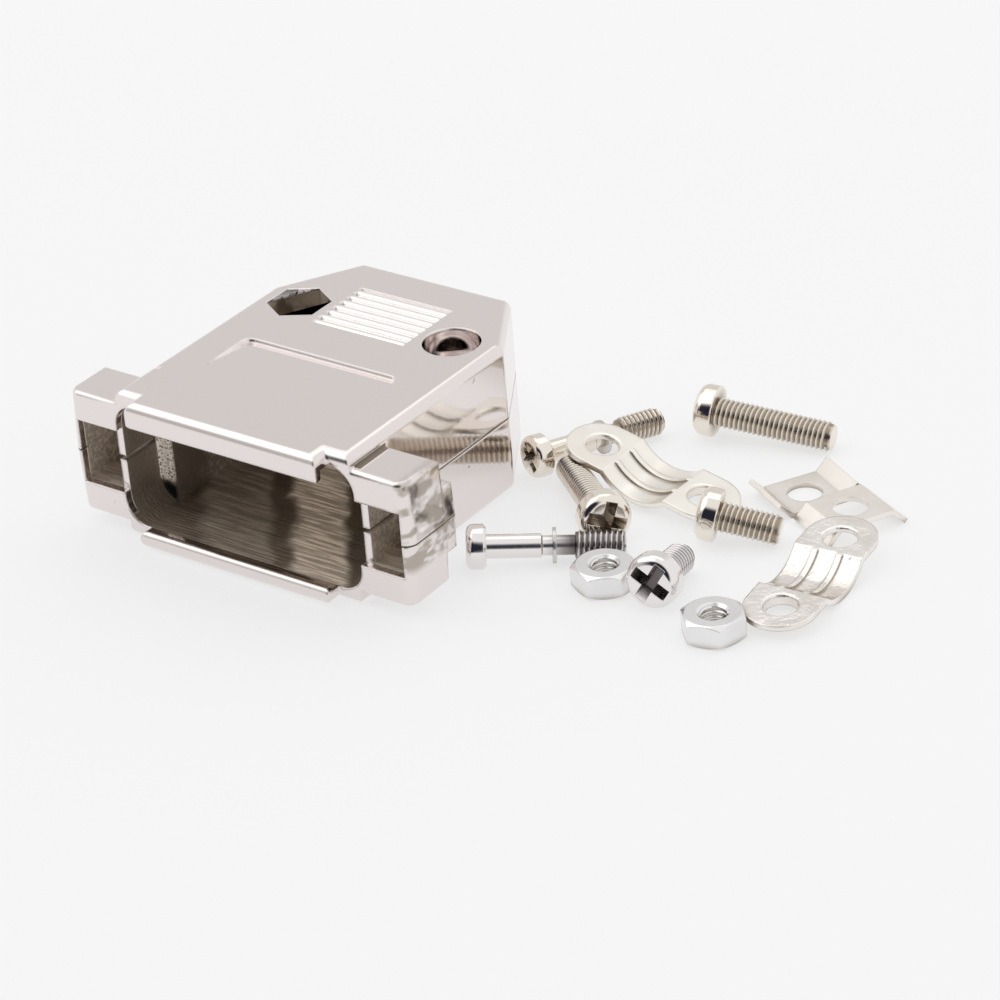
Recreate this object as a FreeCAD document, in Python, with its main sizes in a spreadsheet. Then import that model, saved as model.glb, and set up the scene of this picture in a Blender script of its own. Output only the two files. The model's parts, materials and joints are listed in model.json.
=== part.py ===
import FreeCAD, Part
import math
import os
import Sketcher

# D-sub hood: two cast half shells closed on each other, with the loose hardware that belongs to them
# lying beside it. X runs across the hood, Y from the connector mouth back to the cable exit, Z up from
# the flat base. Sizes are in millimetres.

os.makedirs("parts", exist_ok=True)
doc = FreeCAD.newDocument("Hood")
sheet = doc.addObject("Spreadsheet::Sheet", "Sizes")

SIZES = {
    # hood, outside
    "hood_height": 15.9,
    "body_width": 27.8,
    "body_depth": 33.0,
    "corner_start": 24.6,
    "rear_width": 17.8,
    "edge_round": 1.1,
    "corner_round": 0.8,
    "shell_wall": 1.3,
    "side_wall": 1.3,
    "rear_wall": 1.5,
    "seam_bevel": 0.1,
    # lips that hold the connector flange
    "lip_width": 22.6,
    "lip_reach": 1.7,
    "upper_lip": 2.9,
    "lower_lip": 1.9,
    "lip_corner": 0.6,
    "flange_gap": 0.95,
    "flange_rim": 1.575,
    "flange_play": 0.1,
    # ears round the jackscrews
    "jack_pitch": 33.32,
    "ear_rim": 3.54,
    "ear_depth": 5.6,
    "ear_step": 1.45,
    "ear_lean": 0.34,
    "ear_corner": 1.2,
    "ear_edge": 0.5,
    "boss_depth": 1.5,
    "boss_rise": 3.4,
    "boss_inset": 0.08,
    "ear_wall": 1.0,
    "window_rise": 3.4,
    "front_wall": 0.85,
    "strip_wall": 0.8,
    "strip_gap": 0.25,
    "back_wall": 0.3,
    "jack_play": 0.35,
    # mouth for the connector
    "mouth_width": 28.4,
    "mouth_depth": 5.5,
    "mouth_corner": 2.5,
    # screw columns
    "column_pitch": 18.4,
    "column_depth": 22.75,
    "column_round": 3.95,
    "screw_play": 0.1,
    "head_play": 0.275,
    "head_sink": 3.1,
    "nut_play": 0.05,
    "nut_sink": 3.2,
    "cable_exit": 9.0,
    # grip and slanted label recess
    "grip_width": 10.9,
    "grip_start": 20.0,
    "grip_pitch": 1.14,
    "grip_round": 0.45,
    "label_width": 18.2,
    "label_start": 8.0,
    "label_end": 14.5,
    "label_sink": 0.4,
    "label_corner": 1.0,
    # screws with pan heads
    "thread_dia": 3.0,
    "head_dia": 5.2,
    "head_height": 2.0,
    "head_dome": 0.7,
    "long_length": 12.0,
    "short_length": 6.0,
    "tip_bevel": 0.3,
    "cross_span": 3.6,
    "cross_width": 1.0,
    "cross_sink": 1.2,
    # jackscrews and their rings
    "jack_head": 4.3,
    "jack_cap": 1.9,
    "jack_dome": 0.6,
    "jack_cross_span": 2.8,
    "jack_cross_width": 0.8,
    "jack_cross_sink": 0.9,
    "jack_shank": 2.3,
    "shank_length": 5.3,
    "jack_neck": 1.9,
    "neck_length": 3.0,
    "jack_thread": 2.84,
    "jack_stud": 4.8,
    "ring_dia": 3.4,
    "ring_thick": 0.35,
    "ring_seat": 1.1,
    # hexagon nuts
    "nut_flats": 5.5,
    "nut_thick": 2.4,
    "nut_face_inset": 0.14,
    "tap_dia": 2.5,
    # cable clamp saddles
    "clamp_pitch": 12.0,
    "clamp_width": 7.0,
    "clamp_sheet": 0.55,
    "trough_top": 7.0,
    "trough_sink": 1.45,
    "clamp_rib_offset": 1.25,
    "clamp_rib_width": 0.6,
    "clamp_rib_rise": 0.2,
    "bend_round": 0.5,
    "entry_round": 0.3,
    "collar_dia": 4.2,
    "collar_drop": 0.6,
    # retainer plates
    "plate_length": 6.1,
    "plate_width": 6.0,
    "plate_sheet": 0.5,
    "plate_hole": 3.5,
    "flare_run": 1.4,
    "flare_rise": 1.4,
}

GRIP_RIBS = 7
FLATS_TO_POINTS = 2 / math.sqrt(3)
NUT_EDGE_ANGLE = math.radians(30)
PLANES = {"XY": "XY_Plane", "XZ": "XZ_Plane", "YZ": "YZ_Plane"}


class Size:
    """A length that knows both its number and the rule that gives it in the sheet."""

    def __init__(self, value, rule):
        self.value = value
        self.rule = rule

    def __add__(self, other):
        other = as_size(other)
        return Size(self.value + other.value, "(%s + %s)" % (self.rule, other.rule))

    def __radd__(self, other):
        return as_size(other) + self

    def __sub__(self, other):
        other = as_size(other)
        return Size(self.value - other.value, "(%s - %s)" % (self.rule, other.rule))

    def __rsub__(self, other):
        return as_size(other) - self

    def __mul__(self, other):
        other = as_size(other)
        return Size(self.value * other.value, "(%s * %s)" % (self.rule, other.rule))

    def __rmul__(self, other):
        return as_size(other) * self

    def __truediv__(self, other):
        other = as_size(other)
        return Size(self.value / other.value, "(%s / %s)" % (self.rule, other.rule))

    def __neg__(self):
        return Size(-self.value, "(0 - %s)" % self.rule)


def as_size(item):
    if isinstance(item, Size):
        return item
    return Size(float(item), repr(float(item)))


class Names:
    """The named sizes of the sheet, each as a Size."""


d = Names()
for row, (name, amount) in enumerate(SIZES.items(), start=1):
    sheet.set("A%d" % row, name)
    sheet.set("B%d" % row, str(amount))
    sheet.setAlias("B%d" % row, name)
    setattr(d, name, Size(amount, "Sizes.%s" % name))
doc.recompute()

half = d.hood_height / 2
jack_x = d.jack_pitch / 2
ear_out = jack_x + d.ear_rim
column_x = d.column_pitch / 2
hex_play_flats = d.nut_flats + d.nut_play * 2
ear_rise = half - d.ear_step
boss_reach = d.ear_depth + d.boss_depth
chamber_back = d.ear_depth - d.back_wall


def new_body(label):
    body = doc.addObject("PartDesign::Body", label)
    body.Label = label
    return body


def plane_of(body, plane):
    for feature in body.Origin.OriginFeatures:
        if feature.Role == PLANES[plane]:
            return feature
    raise ValueError(plane)


def new_sketch(body, name, plane, height=None, loops=(), circles=()):
    """A fully placed sketch: every corner, centre and radius follows the sheet."""
    item = body.newObject("Sketcher::SketchObject", name)
    item.AttachmentSupport = [(plane_of(body, plane), "")]
    item.MapMode = "FlatFace"
    if height is not None:
        lifted = FreeCAD.Vector(0, 0, as_size(height).value)
        item.AttachmentOffset = FreeCAD.Placement(lifted, FreeCAD.Rotation())
        item.setExpression("AttachmentOffset.Base.z", as_size(height).rule)
    rules = []
    for loop in loops:
        points = [(as_size(u), as_size(v)) for u, v in loop]
        first = item.GeometryCount
        count = len(points)
        for step in range(count):
            here = points[step]
            there = points[(step + 1) % count]
            start = FreeCAD.Vector(here[0].value, here[1].value, 0)
            end = FreeCAD.Vector(there[0].value, there[1].value, 0)
            item.addGeometry(Part.LineSegment(start, end), False)
        for step in range(count):
            edge = first + step
            after = first + (step + 1) % count
            item.addConstraint(Sketcher.Constraint("Coincident", edge, 2, after, 1))
        for step in range(count):
            place_point(item, first + step, 1, points[step], rules)
    for centre_u, centre_v, radius in circles:
        centre = (as_size(centre_u), as_size(centre_v))
        radius = as_size(radius)
        middle = FreeCAD.Vector(centre[0].value, centre[1].value, 0)
        edge = item.addGeometry(Part.Circle(middle, FreeCAD.Vector(0, 0, 1), radius.value), False)
        place_point(item, edge, 3, centre, rules)
        index = item.addConstraint(Sketcher.Constraint("Radius", edge, radius.value))
        rules.append((index, radius.rule))
    for index, rule in rules:
        item.setExpression("Constraints[%d]" % index, rule)
    return item


def place_point(item, edge, spot, point, rules):
    for kind, axis, amount in (("DistanceX", -2, point[0]), ("DistanceY", -1, point[1])):
        if amount.rule == "0.0":
            item.addConstraint(Sketcher.Constraint("PointOnObject", edge, spot, axis))
            continue
        index = item.addConstraint(Sketcher.Constraint(kind, -1, 1, edge, spot, amount.value))
        rules.append((index, amount.rule))


def pad(body, name, profile, length, reverse=False):
    feature = body.newObject("PartDesign::Pad", name)
    feature.Profile = profile
    feature.Length = as_size(length).value
    feature.setExpression("Length", as_size(length).rule)
    feature.Reversed = reverse
    profile.Visibility = False
    doc.recompute()
    return feature


def pocket(body, name, profile, length, reverse=False):
    feature = body.newObject("PartDesign::Pocket", name)
    feature.Profile = profile
    feature.Length = as_size(length).value
    feature.setExpression("Length", as_size(length).rule)
    feature.Reversed = reverse
    profile.Visibility = False
    doc.recompute()
    return feature


def turned(body, name, profile, axis="V_Axis"):
    feature = body.newObject("PartDesign::Revolution", name)
    feature.Profile = profile
    feature.ReferenceAxis = (profile, [axis])
    feature.Angle = 360
    profile.Visibility = False
    doc.recompute()
    return feature


def dress(body, name, kind, test, amount):
    """A fillet or chamfer on those edges of the body so far that pass the test."""
    base = body.Tip
    edges = []
    for index, edge in enumerate(base.Shape.Edges, start=1):
        if test(edge):
            edges.append("Edge%d" % index)
    feature = body.newObject("PartDesign::" + kind, name)
    feature.Base = (base, edges)
    prop = "Radius" if kind == "Fillet" else "Size"
    setattr(feature, prop, as_size(amount).value)
    feature.setExpression(prop, as_size(amount).rule)
    doc.recompute()
    return feature


def rectangle(u0, v0, u1, v1):
    return [(u0, v0), (u1, v0), (u1, v1), (u0, v1)]


def mirrored(loop):
    return [(-as_size(u), v) for u, v in reversed(loop)]


def hexagon(u, v, flats):
    reach = flats / math.sqrt(3)
    return [
        (u + flats / 2, v - reach / 2),
        (u + flats / 2, v + reach / 2),
        (as_size(u), v + reach),
        (u - flats / 2, v + reach / 2),
        (u - flats / 2, v - reach / 2),
        (as_size(u), v - reach),
    ]


def near(first, second, slack=0.02):
    return abs(first - second) < slack


def ends(edge):
    return [vertex.Point for vertex in edge.Vertexes]


# Half shells


def half_shell(label, lip_height, with_grip):
    """One half of the hood, drawn with its outer face down at height 0 and its seam face up.

    The hexagon pocket lies on the right and the counterbore on the left, so the same drawing turned
    over gives the other half.
    """
    body = new_body(label)
    side = d.body_width / 2
    rear = d.rear_width / 2
    outline = [
        (-side, 0),
        (side, 0),
        (side, d.corner_start),
        (rear, d.body_depth),
        (-rear, d.body_depth),
        (-side, d.corner_start),
    ]
    pad(body, label + "_block", new_sketch(body, label + "_outline", "XY", None, [outline]), half)

    lip = rectangle(-d.lip_reach, 0, d.edge_round, lip_height)
    lip_sketch = new_sketch(body, label + "_lip_profile", "YZ", -d.lip_width / 2, [lip])
    pad(body, label + "_lip", lip_sketch, d.lip_width)

    ear = [
        (side - d.side_wall, d.ear_step),
        (ear_out - d.ear_lean, d.ear_step),
        (ear_out, half),
        (side - d.side_wall, half),
    ]
    ear_sketch = new_sketch(body, label + "_ear_profile", "XZ", None, [ear, mirrored(ear)])
    pad(body, label + "_ears", ear_sketch, d.ear_depth, True)

    boss_low = ear_out - d.boss_inset - d.ear_lean * d.boss_rise / ear_rise
    boss = [
        (side - d.side_wall, half - d.boss_rise),
        (boss_low, half - d.boss_rise),
        (ear_out - d.boss_inset, half),
        (side - d.side_wall, half),
    ]
    boss_sketch = new_sketch(body, label + "_boss_profile", "XZ", None, [boss, mirrored(boss)])
    pad(body, label + "_bosses", boss_sketch, boss_reach, True)

    def upright_corner(edge):
        points = ends(edge)
        if len(points) != 2 or not near(points[0].x, points[1].x) or not near(points[0].y, points[1].y):
            return False
        spot = points[0]
        at_start = near(abs(spot.x), side.value) and near(spot.y, d.corner_start.value)
        at_rear = near(abs(spot.x), rear.value) and near(spot.y, d.body_depth.value)
        return at_start or at_rear

    dress(body, label + "_corners", "Fillet", upright_corner, d.corner_round)

    def base_edge(edge):
        return all(near(point.z, 0.0) for point in ends(edge))

    dress(body, label + "_base_rounds", "Fillet", base_edge, d.edge_round)

    def lip_end(edge):
        points = ends(edge)
        at_end = all(near(abs(point.x), d.lip_width.value / 2) for point in points)
        return at_end and len(points) == 2 and all(near(point.z, lip_height.value) for point in points)

    dress(body, label + "_lip_corners", "Fillet", lip_end, d.lip_corner)

    # groove for the connector flange, behind the lip
    groove = rectangle(-d.flange_gap, d.flange_rim, 0, lip_height + 1)
    groove_sketch = new_sketch(body, label + "_groove_profile", "YZ", d.lip_width / 2 + 1, [groove])
    pocket(body, label + "_groove", groove_sketch, d.lip_width + 2)

    def ear_front_corner(edge):
        points = ends(edge)
        outer = all(abs(point.x) > ear_out.value - d.ear_lean.value - 0.05 for point in points)
        front = all(near(point.y, 0.0) for point in points)
        tall = len(points) == 2 and abs(points[0].z - points[1].z) > ear_rise.value / 2
        return outer and front and tall

    dress(body, label + "_ear_corners", "Fillet", ear_front_corner, d.ear_corner)

    def ear_low_edge(edge):
        points = ends(edge)
        low = all(near(point.z, d.ear_step.value) for point in points)
        outer = all(abs(point.x) > side.value + 0.1 for point in points)
        sideways = any(abs(point.x) > side.value + d.ear_corner.value for point in points)
        return low and (outer or sideways)

    dress(body, label + "_ear_rounds", "Fillet", ear_low_edge, d.ear_edge)

    # cavity behind the mouth
    inner = side - d.side_wall
    rear_inner = rear - d.side_wall / 2
    start_inner = d.corner_start - d.side_wall / 2
    cavity = [
        (-inner, d.mouth_depth - d.front_wall),
        (inner, d.mouth_depth - d.front_wall),
        (inner, start_inner),
        (rear_inner, d.body_depth - d.rear_wall),
        (-rear_inner, d.body_depth - d.rear_wall),
        (-inner, start_inner),
    ]
    cavity_sketch = new_sketch(body, label + "_cavity_outline", "XY", half, [cavity])
    pocket(body, label + "_cavity", cavity_sketch, half - d.shell_wall)

    # mouth with round lower corners
    mouth = d.mouth_width / 2
    mouth_low = d.flange_rim - d.flange_play
    corner = d.mouth_corner
    opening = [
        (-mouth, mouth_low + corner),
        (-mouth + corner, mouth_low + corner),
        (-mouth + corner, mouth_low),
        (mouth - corner, mouth_low),
        (mouth - corner, mouth_low + corner),
        (mouth, mouth_low + corner),
        (mouth, half + 1),
        (-mouth, half + 1),
    ]
    mouth_sketch = new_sketch(body, label + "_mouth_profile", "XZ", None, [opening])
    pocket(body, label + "_mouth", mouth_sketch, d.mouth_depth)
    rounds = [(mouth - corner, mouth_low + corner, corner), (-mouth + corner, mouth_low + corner, corner)]
    round_sketch = new_sketch(body, label + "_mouth_corner_profile", "XZ", None, [], rounds)
    pocket(body, label + "_mouth_corners", round_sketch, d.mouth_depth)

    # ear windows, open to the mouth at the very front, and the chambers behind them
    ear_inner = ear_out - d.ear_wall
    window = rectangle(mouth - corner, half - d.window_rise, ear_inner, half + 1)
    window_sketch = new_sketch(body, label + "_window_profile", "XZ", None, [window, mirrored(window)])
    pocket(body, label + "_windows", window_sketch, d.front_wall)
    chamber = rectangle(mouth + d.strip_wall, half - d.window_rise, ear_inner, half + 1)
    chamber_sketch = new_sketch(body, label + "_chamber_profile", "XZ", None, [chamber, mirrored(chamber)])
    pocket(body, label + "_chambers", chamber_sketch, chamber_back)
    gap = rectangle(mouth - corner, half - d.strip_gap, ear_inner, half + 1)
    gap_sketch = new_sketch(body, label + "_strip_gap_profile", "XZ", None, [gap, mirrored(gap)])
    pocket(body, label + "_strip_gaps", gap_sketch, chamber_back)

    # screw columns with their seats
    posts = [(column_x, d.column_depth, d.column_round), (-column_x, d.column_depth, d.column_round)]
    post_sketch = new_sketch(body, label + "_column_outline", "XY", d.shell_wall / 2, [], posts)
    pad(body, label + "_columns", post_sketch, half - d.shell_wall / 2)
    bore = d.thread_dia / 2 + d.screw_play
    bores = [(column_x, d.column_depth, bore), (-column_x, d.column_depth, bore)]
    bore_sketch = new_sketch(body, label + "_bore_outline", "XY", half, [], bores)
    pocket(body, label + "_bores", bore_sketch, half + 1)
    hexes = [hexagon(column_x, d.column_depth, hex_play_flats)]
    hex_sketch = new_sketch(body, label + "_hexagon_outline", "XY", d.nut_sink, hexes)
    pocket(body, label + "_hexagon", hex_sketch, d.nut_sink + 1)
    seats = [(-column_x, d.column_depth, d.head_dia / 2 + d.head_play)]
    seat_sketch = new_sketch(body, label + "_counterbore_outline", "XY", d.head_sink, [], seats)
    pocket(body, label + "_counterbore", seat_sketch, d.head_sink + 1)

    # half holes on the seam: jackscrews and cable
    jack_hole = d.jack_shank / 2 + d.jack_play
    holes = [(jack_x, half, jack_hole), (-jack_x, half, jack_hole)]
    hole_sketch = new_sketch(body, label + "_jack_hole_profile", "XZ", None, [], holes)
    pocket(body, label + "_jack_holes", hole_sketch, boss_reach + 1)
    exit_hole = [(0, half, d.cable_exit / 2)]
    exit_start = d.body_depth - d.rear_wall - 1
    exit_sketch = new_sketch(body, label + "_exit_profile", "XZ", -exit_start, [], exit_hole)
    pocket(body, label + "_exit", exit_sketch, d.rear_wall + 2)

    # slanted label recess
    wedge = [(d.label_start, -1), (d.label_end, -1), (d.label_end, d.label_sink), (d.label_start, 0)]
    wedge_sketch = new_sketch(body, label + "_label_profile", "YZ", d.label_width / 2, [wedge])
    pocket(body, label + "_label", wedge_sketch, d.label_width)

    def label_corner(edge):
        points = ends(edge)
        upright = len(points) == 2 and not near(points[0].z, points[1].z)
        beside = all(near(abs(point.x), d.label_width.value / 2) for point in points)
        return upright and beside and all(near(point.y, d.label_end.value) for point in points)

    dress(body, label + "_label_corners", "Fillet", label_corner, d.label_corner)

    if with_grip:
        # grip recess with half round ribs
        grip_end = d.grip_start + d.grip_pitch * GRIP_RIBS
        tray = rectangle(-d.grip_width / 2, d.grip_start, d.grip_width / 2, grip_end)
        tray_sketch = new_sketch(body, label + "_grip_outline", "XY", d.grip_round, [tray])
        pocket(body, label + "_grip", tray_sketch, d.grip_round + 1)
        ribs = []
        for step in range(GRIP_RIBS):
            ribs.append((d.grip_start + d.grip_pitch * (step + 0.5), d.grip_round, d.grip_round))
        rib_sketch = new_sketch(body, label + "_grip_rib_profile", "YZ", -d.grip_width / 2, [], ribs)
        pad(body, label + "_grip_ribs", rib_sketch, d.grip_width)

    def seam_edge(edge):
        points = ends(edge)
        if len(points) != 2 or not all(near(point.z, half.value) for point in points):
            return False
        spot = edge.valueAt((edge.FirstParameter + edge.LastParameter) / 2)
        beside = near(abs(spot.x), side.value) and spot.y > boss_reach.value
        behind = near(spot.y, d.body_depth.value)
        run = (abs(spot.x) - rear.value) / (side.value - rear.value)
        line = d.body_depth.value - run * (d.body_depth.value - d.corner_start.value)
        corner_face = 0.1 < run < 0.9 and near(spot.y, line, 0.05)
        on_ear = near(abs(spot.x), ear_out.value) and spot.y < d.ear_depth.value
        return beside or behind or corner_face or on_ear

    dress(body, label + "_seam_bevel", "Chamfer", seam_edge, d.seam_bevel)
    return body


lower = half_shell("lower_shell", d.lower_lip, False)
upper = half_shell("upper_shell", d.upper_lip, True)
flip = FreeCAD.Rotation(FreeCAD.Vector(0, 1, 0), 180)
upper.Placement = FreeCAD.Placement(FreeCAD.Vector(0, 0, d.hood_height.value), flip)
upper.setExpression("Placement.Base.z", d.hood_height.rule)

# Loose hardware, each piece drawn along its own axis and then laid down beside the hood


def root(size):
    size = as_size(size)
    return Size(math.sqrt(size.value), "sqrt(%s)" % size.rule)


def placed(body, x, y, z, turn, tilt=0.0, roll=0.0):
    """Roll about the piece's own X, tip it down by tilt, then turn it about Z; angles in degrees."""
    about_x = FreeCAD.Rotation(FreeCAD.Vector(1, 0, 0), roll)
    about_y = FreeCAD.Rotation(FreeCAD.Vector(0, 1, 0), tilt)
    about_z = FreeCAD.Rotation(FreeCAD.Vector(0, 0, 1), turn)
    spin = about_z.multiply(about_y).multiply(about_x)
    body.Placement = FreeCAD.Placement(FreeCAD.Vector(x, y, z), spin)


def laid_down(body, x, y, turn, roll, head_radius, head_end, tip_radius, tip_end):
    """A headed pin resting on its head's rim and on the end of its shank."""
    tilt = math.atan2(head_radius - tip_radius, tip_end - head_end)
    height = head_end * math.sin(tilt) + head_radius * math.cos(tilt)
    placed(body, x, y, height, turn, math.degrees(tilt), roll)


def cross_recess(body, label, span, width, sink):
    reach = span / 2
    arm = width / 2
    cross = [
        (reach, -arm),
        (reach, arm),
        (arm, arm),
        (arm, reach),
        (-arm, reach),
        (-arm, arm),
        (-reach, arm),
        (-reach, -arm),
        (-arm, -arm),
        (-arm, -reach),
        (arm, -reach),
        (arm, -arm),
    ]
    cross_sketch = new_sketch(body, label + "_cross_outline", "YZ", sink, [cross])
    pocket(body, label + "_cross", cross_sketch, sink + 1)


def rim_test(along, radius):
    def test(edge):
        curve = edge.Curve
        if not isinstance(curve, Part.Circle):
            return False
        return near(curve.Radius, radius.value) and near(curve.Center.x, as_size(along).value)

    return test


def pan_screw(label, length, x, y, turn, roll):
    body = new_body(label)
    head = d.head_dia / 2
    shank = d.thread_dia / 2
    end = d.head_height + length
    outline = [
        (0, 0),
        (0, head),
        (d.head_height, head),
        (d.head_height, shank),
        (end - d.tip_bevel, shank),
        (end, shank - d.tip_bevel),
        (end, 0),
    ]
    turned(body, label + "_turned", new_sketch(body, label + "_outline", "XY", None, [outline]), "H_Axis")
    dress(body, label + "_dome", "Fillet", rim_test(0, head), d.head_dome)
    cross_recess(body, label, d.cross_span, d.cross_width, d.cross_sink)
    laid_down(body, x, y, turn, roll, head.value, d.head_height.value, shank.value, (end - d.tip_bevel).value)
    return body


def jackscrew(label, ring_label, x, y, turn, roll):
    body = new_body(label)
    head = d.jack_head / 2
    shank = d.jack_shank / 2
    neck = d.jack_neck / 2
    stud = d.jack_thread / 2
    shank_end = d.jack_cap + d.shank_length
    neck_end = shank_end + d.neck_length
    end = neck_end + d.jack_stud
    outline = [
        (0, 0),
        (0, head),
        (d.jack_cap, head),
        (d.jack_cap, shank),
        (shank_end, shank),
        (shank_end, neck),
        (neck_end, neck),
        (neck_end, stud),
        (end - d.tip_bevel, stud),
        (end, stud - d.tip_bevel),
        (end, 0),
    ]
    turned(body, label + "_turned", new_sketch(body, label + "_outline", "XY", None, [outline]), "H_Axis")
    dress(body, label + "_dome", "Fillet", rim_test(0, head), d.jack_dome)
    cross_recess(body, label, d.jack_cross_span, d.jack_cross_width, d.jack_cross_sink)
    rest = (head.value, d.jack_cap.value, stud.value, (end - d.tip_bevel).value)
    laid_down(body, x, y, turn, roll, *rest)

    ring = new_body(ring_label)
    ring_start = shank_end + d.ring_seat - d.ring_thick / 2
    band = rectangle(ring_start, neck, ring_start + d.ring_thick, d.ring_dia / 2)
    band_sketch = new_sketch(ring, ring_label + "_outline", "XY", None, [band])
    turned(ring, ring_label + "_turned", band_sketch, "H_Axis")
    laid_down(ring, x, y, turn, roll, *rest)
    return [body, ring]


def hex_nut(label, x, y, turn):
    body = new_body(label)
    sides = new_sketch(body, label + "_hexagon", "XY", None, [hexagon(0, 0, d.nut_flats)])
    pad(body, label + "_blank", sides, d.nut_thick)
    washer_face = d.nut_flats / 2 - d.nut_face_inset
    outer = d.nut_flats / 2 * FLATS_TO_POINTS + d.nut_face_inset
    drop = (outer - washer_face) * math.tan(NUT_EDGE_ANGLE)
    upper_ring = [
        (washer_face, d.nut_thick),
        (outer, d.nut_thick - drop),
        (outer, d.nut_thick + 1),
        (washer_face, d.nut_thick + 1),
    ]
    lower_ring = [
        (washer_face, 0),
        (washer_face, -1),
        (outer, -1),
        (outer, drop),
    ]
    edge_sketch = new_sketch(body, label + "_edge_profile", "XZ", None, [upper_ring, lower_ring])
    grooved = body.newObject("PartDesign::Groove", label + "_edges")
    grooved.Profile = edge_sketch
    grooved.ReferenceAxis = (edge_sketch, ["V_Axis"])
    grooved.Angle = 360
    edge_sketch.Visibility = False
    doc.recompute()
    hole = new_sketch(body, label + "_bore_outline", "XY", d.nut_thick, [], [(0, 0, d.tap_dia / 2)])
    pocket(body, label + "_bore", hole, d.nut_thick + 1)

    def bore_rim(edge):
        curve = edge.Curve
        return isinstance(curve, Part.Circle) and near(curve.Radius, d.tap_dia.value / 2)

    dress(body, label + "_bore_bevel", "Chamfer", bore_rim, d.tip_bevel)
    placed(body, x, y, 0, turn)
    return body


def clamp_saddle(label, x, y, z, turn, tilt):
    """A strap with two ears and a round trough between them; the ear on +X carries a drawn collar."""
    body = new_body(label)
    sheet_thick = d.clamp_sheet
    reach = d.clamp_pitch / 2 + d.clamp_width / 2
    side = d.clamp_width / 2
    chord = d.trough_top / 2
    inner = (chord * chord + d.trough_sink * d.trough_sink) / (d.trough_sink * 2)
    outer = inner + sheet_thick
    rise = inner - d.trough_sink
    flat = rectangle(-reach, -sheet_thick, reach, 0)
    plate = new_sketch(body, label + "_plate_profile", "XZ", -side, [flat])
    pad(body, label + "_plate", plate, d.clamp_width)
    drum = new_sketch(body, label + "_drum_profile", "XZ", -side, [], [(0, rise, outer)])
    pad(body, label + "_drum", drum, d.clamp_width)
    above = new_sketch(body, label + "_top_profile", "XZ", side, [rectangle(-reach, 0, reach, outer * 3)])
    pocket(body, label + "_top", above, d.clamp_width)
    hollow = new_sketch(body, label + "_rib_profile", "XZ", side, [], [(0, rise, inner - d.clamp_rib_rise)])
    pocket(body, label + "_ribs", hollow, d.clamp_width)
    rib_edges = [
        -side,
        -d.clamp_rib_offset - d.clamp_rib_width / 2,
        -d.clamp_rib_offset + d.clamp_rib_width / 2,
        d.clamp_rib_offset - d.clamp_rib_width / 2,
        d.clamp_rib_offset + d.clamp_rib_width / 2,
        side,
    ]
    for start, end in zip(rib_edges[::2], rib_edges[1::2]):
        name = "%s_bed_%d" % (label, rib_edges.index(start))
        bed = new_sketch(body, name + "_profile", "XZ", -start, [], [(0, rise, inner)])
        pocket(body, name, bed, end - start)

    def bend_edge(edge):
        points = ends(edge)
        along = len(points) == 2 and near(points[0].x, points[1].x) and near(points[0].z, points[1].z)
        return along and near(points[0].z, -sheet_thick.value) and abs(points[0].x) < reach.value - 0.1

    dress(body, label + "_bends", "Fillet", bend_edge, d.bend_round)

    def end_corner(edge):
        points = ends(edge)
        upright = len(points) == 2 and near(points[0].x, points[1].x) and near(points[0].y, points[1].y)
        return upright and near(abs(points[0].x), reach.value)

    dress(body, label + "_ends", "Fillet", end_corner, d.clamp_width * 0.49)
    spot = d.clamp_pitch / 2
    collar_disc = [(spot, 0, d.collar_dia / 2)]
    collar = new_sketch(body, label + "_collar_outline", "XY", -sheet_thick - d.collar_drop, [], collar_disc)
    pad(body, label + "_collar", collar, d.collar_drop + sheet_thick / 2)
    bore = d.thread_dia / 2 + d.screw_play
    holes = [(spot, 0, bore), (-spot, 0, bore)]
    hole_sketch = new_sketch(body, label + "_hole_outline", "XY", 0, [], holes)
    pocket(body, label + "_holes", hole_sketch, sheet_thick + d.collar_drop + 1)

    def entry(edge):
        curve = edge.Curve
        return isinstance(curve, Part.Circle) and near(curve.Radius, bore.value) and near(curve.Center.z, 0)

    dress(body, label + "_entries", "Fillet", entry, d.entry_round)
    placed(body, x, y, z, turn, tilt)
    return body


def retainer_plate(label, x, y, z, turn, roll):
    body = new_body(label)
    reach = d.plate_length / 2
    sheet_thick = d.plate_sheet
    run = d.flare_run
    rise = d.flare_rise
    slant = root(run * run + rise * rise)
    shift = sheet_thick * (slant - run) / rise
    tip_in = sheet_thick * rise / slant
    tip_up = sheet_thick * run / slant
    strip = [
        (-reach, 0),
        (reach, 0),
        (reach + run, rise),
        (reach + run - tip_in, rise + tip_up),
        (reach - shift, sheet_thick),
        (-reach + shift, sheet_thick),
        (-reach - run + tip_in, rise + tip_up),
        (-reach - run, rise),
    ]
    profile = new_sketch(body, label + "_strip_profile", "XZ", -d.plate_width / 2, [strip])
    pad(body, label + "_strip", profile, d.plate_width)
    hole = new_sketch(body, label + "_hole_outline", "XY", sheet_thick, [], [(0, 0, d.plate_hole / 2)])
    pocket(body, label + "_hole", hole, sheet_thick + 1)
    placed(body, x, y, z, turn, 0, roll)
    return body


def beside_hood(x, y):
    """A point of the pile of hardware, whose x counts from the hood's slanted side at PILE_DEPTH."""
    side = d.body_width.value / 2
    rear = d.rear_width.value / 2
    run = (PILE_DEPTH - d.corner_start.value) / (d.body_depth.value - d.corner_start.value)
    return side + (rear - side) * run + x, y


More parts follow.
